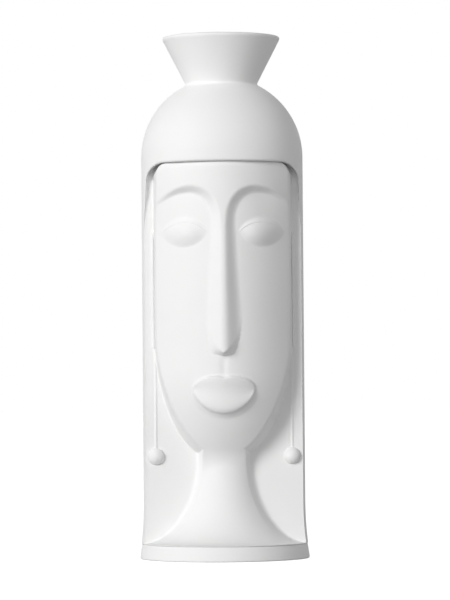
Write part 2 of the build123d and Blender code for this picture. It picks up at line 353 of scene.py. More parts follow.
def buildHair():
    inner = bodyRadius - wall
    bore = bun["bore"]
    rimEdge = collarHigh[0] + bun["rimWorn"]
    last = math.acos(bun["waistCorner"] / bodyRadius)
    dome = [(bodyRadius * math.cos(a), seamZ + bodyRadius * math.sin(a), 0)
            for a in np.linspace(0, last, bun["domeSteps"])]
    dome = [point for point in dome if math.dist(point, dome[-1]) > bun["waistClear"]]
    corner = (bun["waistCorner"], seamZ + bodyRadius * math.sin(last), bun["waistRound"])
    outside = roundCorners([(bodyRadius, seamZ, 0), *dome[1:], corner,
                            (rimEdge, rimZ, bun["rimRound"]),
                            (rimEdge - wall, rimZ, bun["rimRound"]),
                            (bore, waistZ, 0)], 10)
    # The line runs up the dome, over the waist and round the rim down to the bore.
    cut = next(i for i in range(1, len(outside)) if outside[i][1] > waistZ)
    t = (waistZ - outside[cut - 1][1]) / (outside[cut][1] - outside[cut - 1][1])
    waist = outside[cut - 1] + t * (outside[cut] - outside[cut - 1])
    boreTop = seamZ + math.sqrt(inner ** 2 - bore ** 2)
    inside = [(inner * math.cos(a), seamZ + inner * math.sin(a))
              for a in np.linspace(math.acos(bore / inner), 0, bun["domeSteps"])]
    boreEdge = (bore, boreTop + bun["boreEdge"])
    addPiece("hair_dome", *spin([*outside[:cut], waist, (bore, waistZ), boreEdge, *inside]))
    addPiece("bun_collar", *spin([waist, *outside[cut:]]))


buildHair()


# Body shell: a round body with a flat niche, soft along the hair edges

niche = {
    "footFlare": 25.0,         # the body widens to its foot over this height
    "lip": 0.06,               # hair edge beside the niche
    "topLip": 1.7,             # added to it towards the fringe
    "lipFrom": 192.0,
    "cornerRound": 10.5,
    "floorRound": 0.5,
    "cove": 3.0,               # the floor curves up to the side edges over this width
    "edgeRound": 1.6,          # along the fringe
    "lipRound": 2.6,           # how far the thin side edges are worn back
    "lipReach": 2.2,
    "sideSteps": 72,
    "cornerSteps": 44,
    "uprightSteps": 8,         # of these, the ones that run to the back below the seam
    "topSteps": 48,
    "roundSteps": 7,
    "wallSteps": (0.33, 0.67),
    "backSteps": 26,
    "hollowSteps": (72, 24),   # round the back and across the flat front
    "weld": 0.004,
    "level": 0.01,             # points this near a height belong to it
}


def bodyRadiusAt(z):
    flareTop = slabTop + niche["footFlare"]
    out = footRadius - bodyRadius
    bow = (out ** 2 + niche["footFlare"] ** 2) / (2 * out)
    below = np.clip(flareTop - z, 0, None)
    return bodyRadius + bow - np.sqrt(bow ** 2 - below ** 2)


def bodyDepth(x, z):
    return np.sqrt(np.clip(bodyRadiusAt(z) ** 2 - x ** 2, 0, None))


def nicheSide(z):              # half-width of the niche at a height
    surface = np.sqrt(bodyRadiusAt(z) ** 2 - floorDepth ** 2)
    return surface - niche["lip"] - niche["topLip"] * ease(z, niche["lipFrom"], fringeZ)


def nicheLine():               # from the left foot over the fringe to the right foot
    r = niche["cornerRound"]
    cornerZ = fringeZ - r
    cornerX = nicheSide(cornerZ) - r
    sideZ = slabTop + (cornerZ - slabTop) * np.linspace(0, 1, niche["sideSteps"], endpoint=False)
    left = np.stack([-nicheSide(sideZ), sideZ], 1)
    corner = ellipseArc((-cornerX, cornerZ), (r, r), 180, 90, niche["cornerSteps"])
    top = np.stack([np.linspace(-cornerX, cornerX, niche["topSteps"] + 1)[1:-1],
                    np.full(niche["topSteps"] - 1, fringeZ)], 1)
    half = np.vstack([left, corner])
    line = np.vstack([half, top, half[::-1] * (-1, 1)])
    out = np.vstack([np.tile((-1.0, 0.0), (len(left), 1)), (corner - (-cornerX, cornerZ)) / r])
    outward = np.vstack([out, np.tile((0.0, 1.0), (len(top), 1)), out[::-1] * (-1, 1)])
    return line, outward, len(left), len(corner), cornerX


def buildBody():
    line, outward, nSide, nCorner, cornerX = nicheLine()
    count = len(line)
    topness = outward[:, 1] ** 2
    brink = bodyDepth(line[:, 0], line[:, 1])              # depth of the body's surface at the niche line
    drop = brink - floorDepth
    edge = np.minimum(niche["lipRound"] * (1 - topness) + niche["edgeRound"] * topness, 0.5 * drop)
    coveWide = niche["cove"] * (1 - topness) + niche["floorRound"] * topness
    coveHigh = np.minimum(coveWide, drop - edge)
    reach = niche["lipReach"] * (1 - topness) + niche["edgeRound"] * topness
    points = []                                            # rows of points along the line
    ts = np.linspace(0, 1, niche["roundSteps"])
    zero = np.zeros(count)
    floor = np.full(count, floorDepth)
    for t in ts:
        inset = bend(-coveWide, zero, zero, t)
        points.append(inSpace(line + outward * inset[:, None], bend(floor, floor, floor + coveHigh, t)))
    for t in niche["wallSteps"]:
        points.append(inSpace(line, floor + coveHigh + t * (drop - coveHigh - edge)))
    angle = np.arctan2(line[:, 0], brink) + outward[:, 0] * reach / bodyRadius
    height = line[:, 1] + outward[:, 1] * reach
    radius = bodyRadiusAt(height)
    lifted = np.stack([radius * np.sin(angle), height], 1)
    for t in ts:
        depth = bend(brink - edge, brink, radius * np.cos(angle), t)
        points.append(inSpace(bend(line, line, lifted, t), depth))

    # From the niche's edge round to the back, and up to the seam over the fringe.
    frameAngle = np.where(line[:, 0] < 0, -math.pi, math.pi)
    frameZ = height.copy()
    upright = niche["uprightSteps"]
    cornerZ = fringeZ - niche["cornerRound"]
    seamAngle = math.asin(cornerX / bodyRadius)
    fan = np.arange(nCorner)
    fanZ = np.where(fan < upright, cornerZ + (seamZ - cornerZ) * (fan + 1) / upright, seamZ)
    fanAngle = math.pi + (seamAngle - math.pi) * np.clip(fan - upright + 1, 0, None) / (nCorner - upright)
    frameZ[nSide:nSide + nCorner] = fanZ
    frameZ[count - nSide - nCorner:count - nSide] = fanZ[::-1]
    frameAngle[nSide:nSide + nCorner] = -fanAngle
    frameAngle[count - nSide - nCorner:count - nSide] = fanAngle[::-1]
    topRange = slice(nSide + nCorner, count - nSide - nCorner)
    frameZ[topRange] = seamZ
    frameAngle[topRange] = np.arcsin(line[topRange, 0] / bodyRadius)
    for f in np.linspace(0, 1, niche["backSteps"] + 1)[1:]:
        a = angle + (frameAngle - angle) * f
        z = height + (frameZ - height) * f
        r = bodyRadiusAt(z)
        points.append(np.stack([r * np.sin(a), -r * np.cos(a), z], 1))

    rowCount = len(points)
    faces = []
    for i in range(rowCount - 1):
        for k in range(count - 1):
            faces.append([i * count + k, i * count + k + 1, (i + 1) * count + k + 1, (i + 1) * count + k])
    faces.append(list(range(count)))                       # the flat floor of the niche
    points = np.vstack(points)

    # The hollow inside: round, with a flat front behind the niche wall.
    inner = bodyRadius - wall
    front = floorDepth - wall
    turn = math.acos(front / inner)
    aroundSteps, frontSteps = niche["hollowSteps"]
    around = np.linspace(turn, 2 * math.pi - turn, aroundSteps)
    hollow = [(inner * math.sin(a), -inner * math.cos(a)) for a in around]
    hollow += [(x, -front) for x in np.linspace(hollow[-1][0], hollow[0][0], frontSteps)[1:-1]]
    low = len(points) + np.arange(len(hollow))
    points = np.vstack([points, [(x, y, slabTop) for x, y in hollow], [(x, y, seamZ) for x, y in hollow]])
    faces += stitch(low, low + len(hollow))

    mesh = bmesh.new()
    corners = [mesh.verts.new(p) for p in points]
    for face in faces:
        mesh.faces.new([corners[i] for i in face])
    bmesh.ops.remove_doubles(mesh, verts=mesh.verts, dist=niche["weld"])
    for z in (slabTop, seamZ):                             # foot and seam, both flat rings
        ring = [edge for edge in mesh.edges if edge.is_boundary
                and all(abs(v.co.z - z) < niche["level"] for v in edge.verts)]
        bmesh.ops.triangle_fill(mesh, use_beauty=True, edges=ring)
    mesh.verts.index_update()
    points = [tuple(v.co) for v in mesh.verts]
    faces = [[v.index for v in f.verts] for f in mesh.faces]
    mesh.free()
    addPiece("body_shell", points, faces)


buildBody()


# Bare face: the surface of the mask without its features

oval = {
    "recess": 1.2,             # the skin lies this far behind the middle of the mask
    "edgeRise": 9.0,
    "draft": 8.0,              # slope of the side wall, in degrees
    "jawDraft": 1.2,           # added share of that slope along the jaw
    "jawHeight": 75.0,
    "chinSetback": 20.5,
    "chinCurve": 52.0,
    "topSetback": 1.2,         # the upper face leans back
    "leanFrom": 150.0,
    "leanTo": 225.0,
    "cornerRound": 7.5,
    # Roundings at the sides, at the top and along the jaw: on the face, on the side wall and at its foot.
    "frontRound": (1.1, 3.8, 1.6),
    "sideRound": (1.4, 1.4, 4.5),
    "floorRound": (1.0, 1.0, 1.2),
    # The outward direction counts as top, as jaw or as undrafted between these upward and downward shares.
    "topTurn": (0.3, 0.9),
    "jawTurn": (0.1, 0.7),
    "draftTurn": (0.0, 0.8),
    "inset": 4.2,              # the sculpted middle stops this far inside the edge
    "frontRows": 4,
    "roundSteps": 8,
    "wallRows": 4,
    "sunk": 0.05,              # the foot is let into the niche wall
    "lineStep": 1.1,
    "gridStep": 0.95,
    "outlineStep": 0.7,        # along the outlines of the features
    "outlineRows": (-0.9, -0.45, 0.45, 0.9),      # rows of points beside them
    "leastGap": 0.4,           # between any two points
    "ringGap": 0.3,            # between the ring and the points inside it
    "pocket": 0.4,             # the applied pieces are let into the mask by this much
    "clearance": 0.02,         # and lie this far off the pocket's floor
    "shell": 1.2,              # thickness of the mask, in walls
}

draftSlope = math.tan(math.radians(oval["draft"]))
edgeDepth = floorDepth + oval["edgeRise"]
faceHalf = maskHigh[0] - draftSlope * oval["edgeRise"]
chinZ = maskLow[2] + draftSlope * oval["edgeRise"]
jawZ = chinZ + oval["jawHeight"]
faceFront = -maskLow[1] - oval["recess"]
curve = (faceFront - edgeDepth) / faceHalf ** 2


def plainDepth(x, z):
    fall = np.clip((chinZ + oval["chinCurve"] - z) / oval["chinCurve"], 0, None)
    lean = oval["topSetback"] * ease(z, oval["leanFrom"], oval["leanTo"]) * (1 - (x / faceHalf) ** 2)
    return faceFront - oval["chinSetback"] * fall ** 2 - lean - curve * x ** 2


# Bust: a hollow trumpet with side walls that stands on the slab against the niche wall

trumpet = {
    "height": 51.0,            # from the slab up to the chin
    "throat": 22.4,            # front of the throat, from the axis
    "throatHalf": 14.2,        # its side walls
    "foot": 0.3,
    "edgeRound": 2.4,
    "floorRound": 2.0,
    "slant": 0.3,              # the flanks lean in by this share of their height, to each side
    "roundShare": 0.45,        # a rounding takes up at most this much of a flank
    "toeReach": 0.4,           # and ends at most this far outside the foot
    "leastFront": 0.5,         # the front stays this far before the niche wall
    "chinTo": 65.0,            # up to here the throat curves out to meet the chin
    "chinStep": 0.3,           # and goes straight on from a level this much higher
    "round": 0.88,             # the throat is a little rounder in front than about the axis
    "facet": 40.0,             # and runs straight on from this angle
    "facetFrom": 14.0,
    "facetTo": 40.0,
    "top": 66.0,               # inside the jaw
    "levels": 40,
    "chinFrom": 52.0,          # finer levels from here up
    "chinLevels": 24,
    "sweepSteps": 60,
    "roundSteps": 8,
    "hollowSteps": 40,
}


def bustSweep(z, foot, throat, inset):     # a quarter ellipse from the upright throat out to the foot
    throatZ = slabTop + trumpet["height"]
    up = trumpet["height"] - trumpet["foot"] + inset
    low = min(max((throatZ - z) / up, 0), 1)
    return foot - (foot - throat + inset) * math.sqrt(1 - low ** 2)


def throatDepth(x, z, radius):
    across = np.abs(x)
    turn = math.radians(trumpet["facet"])
    ball = trumpet["round"] * radius
    edge = ball * math.sin(turn)
    front = radius - ball + np.sqrt(ball ** 2 - np.minimum(across, edge) ** 2)
    front = front - np.clip(across - edge, 0, None) * math.tan(turn)
    plain = np.sqrt(np.clip(radius ** 2 - x ** 2, 0, None))
    share = ease(z, trumpet["facetFrom"], trumpet["facetTo"])
    return plain + (front - plain) * share


def throatLean(x, z, depth):       # a hollow curve that runs smoothly into the chin
    top = trumpet["chinTo"]
    if z > top:
        return 0 * x
    gap = np.clip(plainDepth(x, top) - depth, 0, None)
    slope = 2 * oval["chinSetback"] * (chinZ + oval["chinCurve"] - top) / oval["chinCurve"] ** 2
    start = top - 2 * gap / slope
    rise = np.clip((z - start) / np.maximum(top - start, 0.1), 0, 1)
    return gap * rise ** 2


def bustOutline(z, inset):     # half-width of the walls and front radius
    rim = math.hypot(bustHigh[0], floorDepth)
    radius = max(bustSweep(z, rim, trumpet["throat"], inset), floorDepth + trumpet["leastFront"])
    half = bustSweep(z, bustHigh[0], trumpet["throatHalf"], inset)
    return min(half, math.sqrt(radius ** 2 - floorDepth ** 2)), radius


def bustSection(z):
    half, radius = bustOutline(z, 0)
    lean = trumpet["slant"] * (float(throatDepth(np.array(half), z, radius)) - floorDepth)
    top = half - lean
    edge = min(trumpet["edgeRound"], 0.5 * lean)
    xs = (top - edge) * np.sin(np.linspace(-1, 1, trumpet["sweepSteps"])) / math.sin(1)
    depths = throatDepth(xs, z, radius)
    depths = depths + throatLean(xs, z, depths)
    sweep = list(zip(xs, depths))
    crestDepth = throatDepth(np.array([top]), z, radius)
    crestDepth = crestDepth + throatLean(np.array([top]), z, crestDepth)
    crest = np.array([top, crestDepth[0]])
    toe = np.array([min(half + lean, bustHigh[0]), floorDepth])
    flank = crest - toe
    length = max(np.linalg.norm(flank), 0.1)
    soft = min(trumpet["roundShare"], trumpet["floorRound"] / length)
    worn = 1 - min(trumpet["roundShare"], edge / length)
    beyond = toe + (min(trumpet["floorRound"], bustHigh[0] + trumpet["toeReach"] - toe[0]), 0)
    ts = np.linspace(0, 1, trumpet["roundSteps"])
    side = [bend(beyond, toe, toe + soft * flank, t) for t in ts]
    side += [toe + f * flank for f in np.linspace(soft, worn, 4)[1:-1]]
    side += [bend(toe + worn * flank, crest, np.array(sweep[-1]), t) for t in ts[:-1]]
    outer = [(-x, d) for x, d in side] + sweep + [tuple(p) for p in side[::-1]]
    half, radius = bustOutline(z, wall)
    turn = math.asin(half / radius)
    arc = np.linspace(turn, -turn, trumpet["hollowSteps"])
    hollow = [(radius * math.sin(a), radius * math.cos(a)) for a in arc]
    inner = [(half, floorDepth), *hollow, (-half, floorDepth)]
    return np.array([(x, -d, z) for x, d in outer + inner])


def buildBust():
    throatZ = slabTop + trumpet["height"]
    footTop = slabTop + trumpet["foot"]
    swing = np.linspace(math.pi / 2, 0, trumpet["levels"])
    levels = [slabTop] + [throatZ - (throatZ - footTop) * math.sin(a) for a in swing]
    levels = [z for z in levels if z < trumpet["chinFrom"]]
    levels += list(np.linspace(trumpet["chinFrom"], trumpet["chinTo"], trumpet["chinLevels"]))
    levels += [trumpet["chinTo"] + trumpet["chinStep"], trumpet["top"]]
    addPiece("bust", *loftRings([bustSection(z) for z in levels]))


buildBust()


# Brow and nose: one raised form with the forehead

ridge = {
    # Middle of the slope that runs up the nose and out along the brow: x, z, half-width.
    "line": [(6.7, 112, 6.7), (6.5, 125, 6.5), (6.2, 140, 6.2), (5.3, 165, 5.2), (4.6, 189, 4.4),
             (4.5, 197, 4.1), (5.0, 204, 3.8), (7.2, 210.3, 3.5), (11.2, 214.8, 3.2), (16, 217.0, 3.0),
             (21, 217.4, 2.8), (27, 216.3, 2.5), (32, 214.0, 2.1), (37, 210.8, 1.7), (43, 206.4, 1.5)],
    "turn": (40, 68),          # along the line, from the rounded nose to the hollow under the brow
    "noseFullness": 0.85,      # below 1 the nose's slope is steeper at its top
    "browSoft": 0.35,
    "bridge": 203.0,           # height where brow and nose part
    "archFrom": 3.0,           # the brow's outline starts this far below
    "archEnd": 0.6,            # and stops this far inside the sculpted middle
    "browRise": 4.2,
    "browFade": (22.0, 45.0),  # the brow runs out before the edge
    "tailRise": (188.0, 234.0),    # into this slow rise up the temple
    "tipRise": 5.9,
    "tipCurve": 1.5,
    "underFall": 2.6,
    "underBlend": (0.8, 0.35),     # rounding of the tip, and how it grows to the sides
    "wingFall": 0.16,          # the underside is flatter towards its sides
    "wingRise": (0.3, 0.22),   # and its lower edge lifts, first straight and then more
    "wingFrom": 4.0,
    "wingEdge": 0.5,           # the nose's outline runs this far below
    "grooveHalf": 2.0,         # groove from nose to lip
    "grooveDepth": 0.4,
    "grooveEnd": (0.5, 2.0),   # it starts outside the space between them and fades in inside it
}
noseLowZ = nodeBox("nose")[0][2]
tipZ = noseLowZ + ridge["underFall"]
stepLine = curveThrough(ridge["line"], 8)


def noseBottom(x):
    off = np.sqrt(np.square(x) + 1) - 1
    straight, more = ridge["wingRise"]
    return noseLowZ + straight * off + more * np.clip(off - ridge["wingFrom"], 0, 8) ** 2


def ridgeRelief(x, z):
    across = np.abs(x)
    inside, where = nearestOn(across, z, stepLine)
    half = np.interp(where, np.arange(len(stepLine)), stepLine[:, 2])
    down = np.clip((ridge["bridge"] - z) / (ridge["bridge"] - tipZ), 0, 1)
    grown = 1 - (1 - down) ** ridge["tipCurve"]
    rise = ridge["browRise"] + (ridge["tipRise"] - ridge["browRise"]) * grown
    fall = ridge["underFall"] + ridge["wingFall"] * np.clip(across, 0, 10) ** 2
    under = np.clip((z - noseBottom(x)) * ridge["tipRise"] / fall, 0, None)
    u = np.clip((inside + half) / (2 * half), 0, 1)
    t = (1 - u) ** ridge["noseFullness"]
    rounded = 1 - t ** 3 * (10 - 15 * t + 6 * t * t)
    hollow = ramp(u, 0.0, 1.0, ridge["browSoft"])
    share = ease(where, *ridge["turn"])
    level = rounded + (hollow - rounded) * share
    level = level + (ease(z, *ridge["tailRise"]) - level) * ease(across, *ridge["browFade"]) * share
    least, growth = ridge["underBlend"]
    return softMin(rise * level, under, least + growth * np.clip(across, 0, 8)).clip(0, None)


# Eyes and lids

eyeShape = {
    "relief": 4.3,
    "wider": 1.6,              # the soft corners run out this far past the drawn ones
    "crest": 1.4,              # fullness towards the corners
    "fullness": (1.6, 1.1),    # above and below the middle, lower is fuller
    "foot": 1.2,
    "halfHeight": 9.4,
    "lid": 4.0,
    "lidRelief": 0.3,
    "lidSoft": 0.3,            # half-width of the fold
    "lidFade": 1.5,            # the fold runs out where the eye is lower than this
}
eyeLow, eyeHigh = nodeBox("eye_right")
eyeX = (eyeLow[0] + eyeHigh[0]) / 2
eyeHalf = (eyeHigh[0] - eyeLow[0]) / 2
eyeZ = eyeLow[2] + eyeShape["halfHeight"]


def eyeArc(x, half, rise):     # height of the arc from corner to corner
    radius = (half ** 2 + rise ** 2) / (2 * rise)
    across = np.clip(np.abs(np.abs(x) - eyeX), 0, half)
    return rise - radius + np.sqrt(radius ** 2 - across ** 2)


def eyeRelief(x, z):
    half = eyeHalf + eyeShape["wider"]
    up = (z - eyeZ) / np.maximum(eyeArc(x, half, eyeShape["halfHeight"]), 0.05)
    power = np.where(up > 0, *eyeShape["fullness"])
    spread = np.clip(np.abs(np.abs(x) - eyeX) / half, 0, 1)
    shape = eyeShape["relief"] * (1 - spread ** 2) ** eyeShape["crest"]
    shape = shape * np.clip(1 - up ** 2, 0, None) ** power
    aboveFold = z - eyeZ - eyeArc(x, eyeHalf, eyeShape["halfHeight"] - eyeShape["lid"])
    soft = eyeShape["lidSoft"]
    lid = eyeShape["lidRelief"] * ease(aboveFold, -soft, soft) * ease(shape, 0, eyeShape["lidFade"])
    return shape ** 2 / (shape + eyeShape["foot"]) + lid


# Lips, and the groove above them

lipShape = {
    # Relief from the lower edge (-1) over the parting (0) to the upper edge (1).
    "profile": [(-1.0, 2.0), (-0.93, 2.8), (-0.86, 3.2), (-0.76, 3.4), (-0.6, 3.15), (-0.38, 2.5),
                (-0.25, 2.12), (-0.12, 1.85), (0.0, 1.72), (0.15, 1.72), (0.3, 1.82), (0.5, 2.08),
                (0.65, 2.26), (0.8, 2.35), (0.92, 2.25), (1.0, 1.8)],
    "cornerRelief": 0.4,       # share of it that is left in the corners
    "bowX": 4.2,
    "bowDip": 0.8,
    "rimWidth": 1.2,
    "foot": (0.3, 3.2),        # the slope runs out this far beyond the upper and the lower edge
    "footTurn": 6.0,           # from one to the other over this height below the corners
    "wider": 0.8,              # the soft corners reach past the drawn ones
    "lower": 1.0,
}
upperLow, upperHigh = nodeBox("upper_lip")
lowerLow, lowerHigh = nodeBox("lower_lip")
partZ = upperLow[2]
cornerZ = lowerHigh[2]
mouthHalf = upperHigh[0] + lipShape["wider"]
mouthLowZ = lowerLow[2] - lipShape["lower"]
lipProfile = curveThrough(lipShape["profile"], 24)


def lipTop(x):
    across = np.abs(x)
    peak = upperHigh[2]
    dip = peak - lipShape["bowDip"]
    along = np.clip((across - lipShape["bowX"]) / (mouthHalf - lipShape["bowX"]), 0, 1)
    slope = cornerZ + (peak - cornerZ) * np.sqrt(1 - along ** 2)
    bow = dip + (peak - dip) * ease(across, 0, lipShape["bowX"])
    return np.where(across < lipShape["bowX"], bow, slope)


def arcHeight(x, low):         # height of the arc from corner to corner through the given low point
    rise = cornerZ - low
    radius = (mouthHalf ** 2 + rise ** 2) / (2 * rise)
    across = np.clip(np.abs(x), 0, mouthHalf)
    return low + radius - np.sqrt(radius ** 2 - across ** 2)


def mouthEdges():              # upper and lower outline, from the left corner to the right
    xs = mouthHalf * np.sin(np.radians(np.linspace(-90, 90, 160)))
    return np.stack([xs, lipTop(xs)], 1), np.stack([xs, arcHeight(xs, mouthLowZ)], 1)


mouthLine = evenly(np.vstack([mouthEdges()[1], mouthEdges()[0][-2::-1]]), 0.4)


def lipRelief(x, z):
    upperFoot, lowerFoot = lipShape["foot"]
    reach = lowerFoot + 0.5
    near = (np.abs(x) < mouthHalf + reach) & (z < upperHigh[2] + reach) & (z > mouthLowZ - reach)
    relief = np.zeros_like(x)
    x, z = x[near], z[near]
    part = arcHeight(x, partZ)
    space = np.where(z > part, lipTop(x) - part, part - arcHeight(x, mouthLowZ))
    v = (z - part) / np.maximum(space, 0.1)
    left = lipShape["cornerRelief"]
    full = left + (1 - left) * np.sqrt(np.clip(1 - (x / mouthHalf) ** 2, 0, 1))
    inside = nearestOn(x, z, mouthLine)[0]
    height = np.interp(np.clip(v, -1, 1), lipProfile[:, 0], lipProfile[:, 1])
    foot = upperFoot + (lowerFoot - upperFoot) * ease(cornerZ - z, 0, lipShape["footTurn"])
    slope = np.clip((inside + foot) / (foot + lipShape["rimWidth"]), 0, 1)
    relief[near] = height * full * slope ** 2 * (3 - 2 * slope) ** 0.5
    return relief


def groove(x, z):
    low, high = lipTop(np.zeros(1))[0], noseLowZ
    before, after = ridge["grooveEnd"]
    window = ease(z, low - before, low + after) * (1 - ease(z, high - after, high + before))
    return ridge["grooveDepth"] * np.exp(-(x / ridge["grooveHalf"]) ** 2) * window


# Face: one sculpted surface over the oval of the mask, shared out to its pieces

def faceDepth(x, z):
    return plainDepth(x, z) + ridgeRelief(x, z) + eyeRelief(x, z) + lipRelief(x, z) - groove(x, z)


def faceNormals(x, z, step=0.02):
    dx = (faceDepth(x + step, z) - faceDepth(x - step, z)) / (2 * step)
    dz = (faceDepth(x, z + step) - faceDepth(x, z - step)) / (2 * step)
    normals = np.stack([-dx, -np.ones_like(dx), -dz], 1)
    return normals / np.linalg.norm(normals, axis=1, keepdims=True)


def ovalLine():                # outline of the face and its outward directions
    r = oval["cornerRound"]
    cx, cz = faceHalf - r, fringeZ - r
    jaw = ellipseArc((0, jawZ), (faceHalf, oval["jawHeight"]), 180, 360, 400)
    right = ellipseArc((cx, cz), (r, r), 0, 90, 30)
    left = ellipseArc((-cx, cz), (r, r), 90, 180, 30)
    line = evenly(np.vstack([jaw, right, left[:-1]]), oval["lineStep"], closed=True)
    along = np.roll(line, -1, axis=0) - np.roll(line, 1, axis=0)
    along /= np.linalg.norm(along, axis=1, keepdims=True)
    return line, np.stack([along[:, 1], -along[:, 0]], 1)


faceLine, faceOut = ovalLine()
faceCount = len(faceLine)


def faceLineAt(inset):         # the outline moved inwards, by one amount or by one for each point
    return faceLine - faceOut * np.reshape(inset, (-1, 1))


def edgeRows():                # (inset, depth) from the sculpted middle over the edge to the niche wall
    top = ease(faceOut[:, 1], *oval["topTurn"])
    jaw = ease(-faceOut[:, 1], *oval["jawTurn"])
    drafted = 1 - ease(faceOut[:, 1], *oval["draftTurn"])        # no draft under the fringe
    slope = draftSlope * (drafted + oval["jawDraft"] * jaw)
    ts = np.linspace(0, 1, oval["roundSteps"])[1:]

    def depthAt(inset):
        spot = faceLineAt(inset)
        return faceDepth(spot[:, 0], spot[:, 1])

    def mixed(name):
        sides, over, under = oval[name]
        return sides + (over - sides) * top + (under - sides) * jaw

    corner = np.zeros(faceCount)
    for _ in range(8):         # closes in on where the side wall meets the front
        corner = slope * (depthAt(corner) - edgeDepth)
    brink = depthAt(corner)
    starts = corner + mixed("frontRound")
    rows = []
    for f in np.linspace(0, 1, oval["frontRows"] + 1):
        inset = oval["inset"] + (starts - oval["inset"]) * f
        rows.append((inset, depthAt(inset)))
    front = rows[-1][1]
    side = mixed("sideRound")
    for t in ts:
        inset = bend(starts, corner, corner - slope * side, t)
        rows.append((inset, bend(front, brink, brink - side, t)))
    soft = mixed("floorRound")
    toe = floorDepth + soft
    for f in np.linspace(0, 1, oval["wallRows"] + 1)[1:]:
        depth = (brink - side) + (toe - brink + side) * f
        rows.append((slope * (depth - edgeDepth), depth))
    foot = slope * (floorDepth - edgeDepth)
    for t in ts:
        inset = bend(slope * (toe - edgeDepth), foot, foot - soft, t)
        rows.append((inset, bend(toe, floorDepth, floorDepth, t)))
    rows[-1] = (rows[-1][0], rows[-1][1] - oval["sunk"])
    return rows


def insidePolygon(points, polygon):
    x, z = points[:, :1], points[:, 1:]
    x1, z1 = polygon[:, 0], polygon[:, 1]
    x2, z2 = np.roll(x1, -1), np.roll(z1, -1)
    spans = (z1 > z) != (z2 > z)
    level = np.where(np.abs(z2 - z1) < 1e-12, 1e-12, z2 - z1)
    return (np.sum(spans & (x < x1 + (z - z1) * (x2 - x1) / level), axis=1) % 2) == 1


def mirrored(line):
    return line[::-1] * (-1, 1)


def faceOutlines(innerRing):   # lines round the features, and the area of each piece
    spacing = oval["outlineStep"]

    def onRing(point):         # the ring's nearest point
        return innerRing[np.argmin(np.hypot(*(innerRing - point).T))]

    foot = stepLine[:, :2] + rightOf(stepLine[:, :2]) * stepLine[:, 2:]
    archEnd = faceHalf - oval["inset"] - ridge["archEnd"]
    arch = foot[(foot[:, 1] > ridge["bridge"] - ridge["archFrom"]) & (foot[:, 0] < archEnd)]
    arch = evenly(arch, spacing)
    leftArch = mirrored(arch)
    arch[-1] = onRing(arch[-1])
    leftArch[0] = onRing(leftArch[0])
    bridge = arch[0]
    edge = ridge["wingEdge"]
    wingX = ridge["line"][1][0] + ridge["line"][1][2]
    wing = np.array([wingX, noseBottom(wingX) - edge])
    flank = foot[(foot[:, 1] > wing[1] + edge) & (foot[:, 1] < bridge[1] - edge)]
    noseSide = evenly(np.vstack([bridge, flank[::-1], wing]), spacing)
    bridgeLine = evenly([bridge * (-1, 1), bridge], spacing)
    xs = np.linspace(wingX, -wingX, 40)
    noseFoot = evenly(np.stack([xs, noseBottom(xs) - edge], 1), spacing)
    h = eyeShape["halfHeight"]
    ends = (eyeX - eyeHalf, eyeZ), (eyeX + eyeHalf, eyeZ)
    lidTop, fold, eyeFoot = (evenly(arcThrough(ends[0], (eyeX, eyeZ + rise), ends[1], 60), spacing)
                             for rise in (h, h - eyeShape["lid"], -h))
    xs = np.linspace(-mouthHalf, mouthHalf, 120)
    upperEdge, lowerEdge = (evenly(line, spacing) for line in mouthEdges())
    parting = evenly(np.stack([xs, arcHeight(xs, partZ)], 1), spacing)
    lines = [arch, leftArch, noseSide, mirrored(noseSide), bridgeLine, noseFoot]
    lines += [upperEdge, parting, lowerEdge]
    for line in (lidTop, fold, eyeFoot):
        lines += [line, mirrored(line)]
    top, far = fringeZ + 5, 2 * faceHalf
    above = [(-far, leftArch[0][1]), (-far, top), (far, top), (far, arch[-1][1])]
    areas = {
        "brow_plate": np.vstack([arch[::-1], bridgeLine[::-1], leftArch[::-1], above]),
        "nose": np.vstack([bridgeLine, noseSide[1:], noseFoot[1:], mirrored(noseSide)[1:-1]]),
        "upper_lip": np.vstack([parting, upperEdge[::-1]]),
        "lower_lip": np.vstack([lowerEdge, parting[::-1]]),
    }
    for side, sign in (("right", 1), ("left", -1)):
        areas["eye_" + side] = np.vstack([eyeFoot, fold[::-1]]) * (sign, 1)
        areas["eyelid_" + side] = np.vstack([fold, lidTop[::-1]]) * (sign, 1)
    return lines, areas


def sprinkle(lines, fixed):    # points between the outlines, none too near another
    step = oval["gridStep"]
    xs = np.arange(-faceHalf, faceHalf, step)
    zs = np.arange(chinZ, fringeZ, step * math.sqrt(3) / 2)
    loose = [line[1:-1] + rightOf(line)[1:-1] * off for line in lines for off in oval["outlineRows"]]
    loose += [np.stack([xs + (i % 2) * step / 2, np.full(len(xs), z)], 1) for i, z in enumerate(zs)]
    loose = np.vstack(loose)
    loose = loose[insidePolygon(loose, faceLineAt(oval["inset"] + oval["ringGap"]))]
    cells = {}                 # points by the square millimetre that holds them

    def cellOf(point):
        return int(point[0] // 1), int(point[1] // 1)

    def isFree(point):
        i, j = cellOf(point)
        near = [q for a in (i - 1, i, i + 1) for b in (j - 1, j, j + 1) for q in cells.get((a, b), ())]
        return all((point[0] - q[0]) ** 2 + (point[1] - q[1]) ** 2 >= oval["leastGap"] ** 2 for q in near)

    for point in fixed:
        cells.setdefault(cellOf(point), []).append(point)
    kept = []
    for point in loose:
        if isFree(point):
            kept.append(point)
            cells.setdefault(cellOf(point), []).append(point)
    return np.array(kept)


